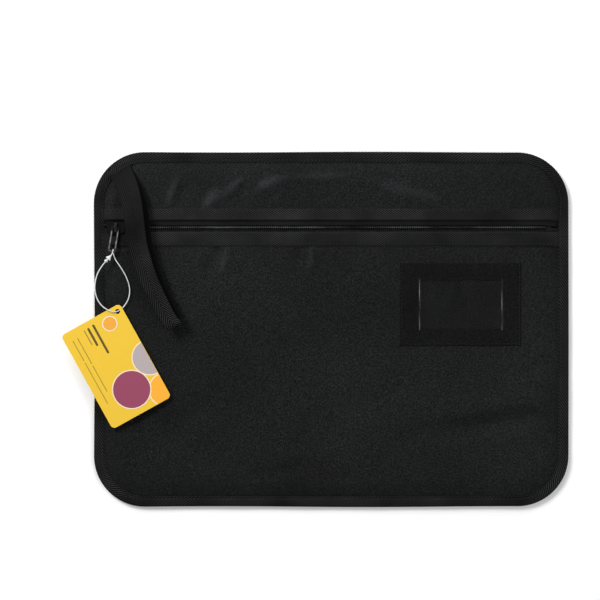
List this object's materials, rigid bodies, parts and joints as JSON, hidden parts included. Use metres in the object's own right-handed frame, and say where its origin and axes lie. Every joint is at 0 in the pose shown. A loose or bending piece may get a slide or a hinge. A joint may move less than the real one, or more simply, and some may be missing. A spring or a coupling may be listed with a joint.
{
  "type": "zipped document bag",
  "caption": "Flat zipped fabric bag for notes, coins and papers, with a wrist strap, a card window and a hang tag.",
  "frame": {"origin": "under the middle of the bag, on the surface that it lies on", "axes": "+X to the bag's right along its long side, +Y towards its top edge, +Z out of its front face"},
  "size_m": [0.4091, 0.288, 0.0199],
  "materials": {
    "panel_fabric": "woven",
    "binding_tape": "twill tape",
    "facing_tape": "twill tape",
    "zip_tape": "woven tape",
    "zip_coil": "satin",
    "slider_metal": "satin",
    "thread": "twisted thread",
    "pocket_fabric": "coated fabric",
    "clear_film": "clear",
    "strap_tape": "herringbone tape",
    "clear_nylon": "translucent",
    "tag_card": "laminated card"
  },
  "bodies": {
    "root": {"back_panel": "panel_fabric", "front_panel_lower": "panel_fabric", "front_panel_upper": "panel_fabric", "edge_binding": "binding_tape", "edge_thread": "thread", "id_pocket_frame": "pocket_fabric", "id_pocket_window": "clear_film", "pocket_thread": "thread"},
    "mouth_lower": {"zip_tape_lower": "zip_tape", "zip_coil_lower": "zip_coil", "zip_facing_lower": "facing_tape", "facing_thread_lower": "thread", "zip_top_stop_lower": "zip_coil", "zip_bottom_stop": "zip_coil"},
    "mouth_upper": {"zip_tape_upper": "zip_tape", "zip_coil_upper": "zip_coil", "zip_facing_upper": "facing_tape", "facing_thread_upper": "thread", "zip_top_stop_upper": "zip_coil"},
    "slider": {"zip_slider": "slider_metal"},
    "pull": {"zip_pull": "slider_metal"},
    "tag_loop": {"tag_loop": "clear_nylon", "tag_loop_lock": "clear_nylon"},
    "tag": {"hang_tag": "tag_card"},
    "strap": {"wrist_strap": "strap_tape"}
  },
  "joints": [
    {"name": "zip_slide", "type": "slide", "parent": "root", "child": "slider", "axis": [1, 0, 0], "range_m": [0, 0.34], "deforming": ["zip_coil_lower", "zip_coil_upper"]},
    {"name": "mouth_lower_part", "type": "slide", "parent": "root", "child": "mouth_lower", "axis": [0, -1, 0], "range_m": [0, 0.007]},
    {"name": "mouth_upper_part", "type": "slide", "parent": "root", "child": "mouth_upper", "axis": [0, 1, 0], "range_m": [0, 0.004]},
    {"name": "pull_swing", "type": "hinge", "parent": "slider", "child": "pull", "pos_m": [-0.174, 0.082, 0.0106], "axis": [-0.9877, 0.1564, 0], "range_deg": [0, 150]},
    {"name": "loop_swing", "type": "hinge", "parent": "pull", "child": "tag_loop", "pos_m": [-0.17701, 0.06299, 0.0106], "axis": [-0.9877, 0.1564, 0], "range_deg": [0, 30]},
    {"name": "tag_turn", "type": "hinge", "parent": "tag_loop", "child": "tag", "pos_m": [-0.1723, 0.0146, 0.01085], "axis": [0, 0, 1], "range_deg": [-25, 35]},
    {"name": "strap_swing", "type": "hinge", "parent": "root", "child": "strap", "pos_m": [-0.1705, 0.1285, 0.00685], "axis": [-0.8942, -0.4478, 0], "range_deg": [0, 150]}
  ],
  "couplings": [
    {"joint": "mouth_lower_part", "follows": "zip_slide", "ratio": 0.0205},
    {"joint": "mouth_upper_part", "follows": "zip_slide", "ratio": 0.0117}
  ]
}
